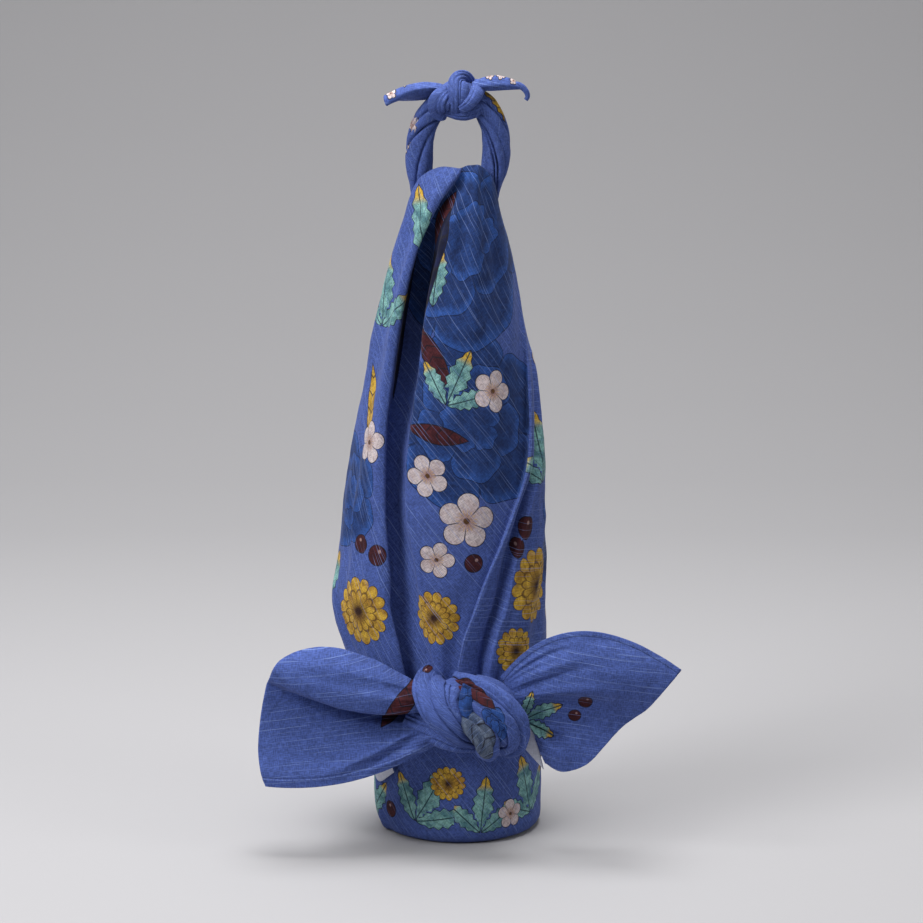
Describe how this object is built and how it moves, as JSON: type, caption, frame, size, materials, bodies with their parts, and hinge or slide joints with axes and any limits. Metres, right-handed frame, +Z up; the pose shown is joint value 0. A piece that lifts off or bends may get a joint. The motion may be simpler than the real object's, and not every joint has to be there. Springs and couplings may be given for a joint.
{
  "type": "furoshiki bottle wrap",
  "caption": "Square cloth tied as a tall bottle wrap: pleated body on a flat round base, twisted loop handle with a top knot, and a front knot with two wings.",
  "frame": {"origin": "middle of the flat round base, on the surface that the wrap stands on", "axes": "+Z up towards the handle's knot, -Y towards the front, where the knot with the two wings is, +X to the right seen from the front"},
  "size_m": [0.2047, 0.1122, 0.3792],
  "materials": {
    "slub_cloth": "matte printed slub weave"
  },
  "bodies": {
    "root": {"furoshiki_cloth": "slub_cloth"}
  },
  "joints": []
}
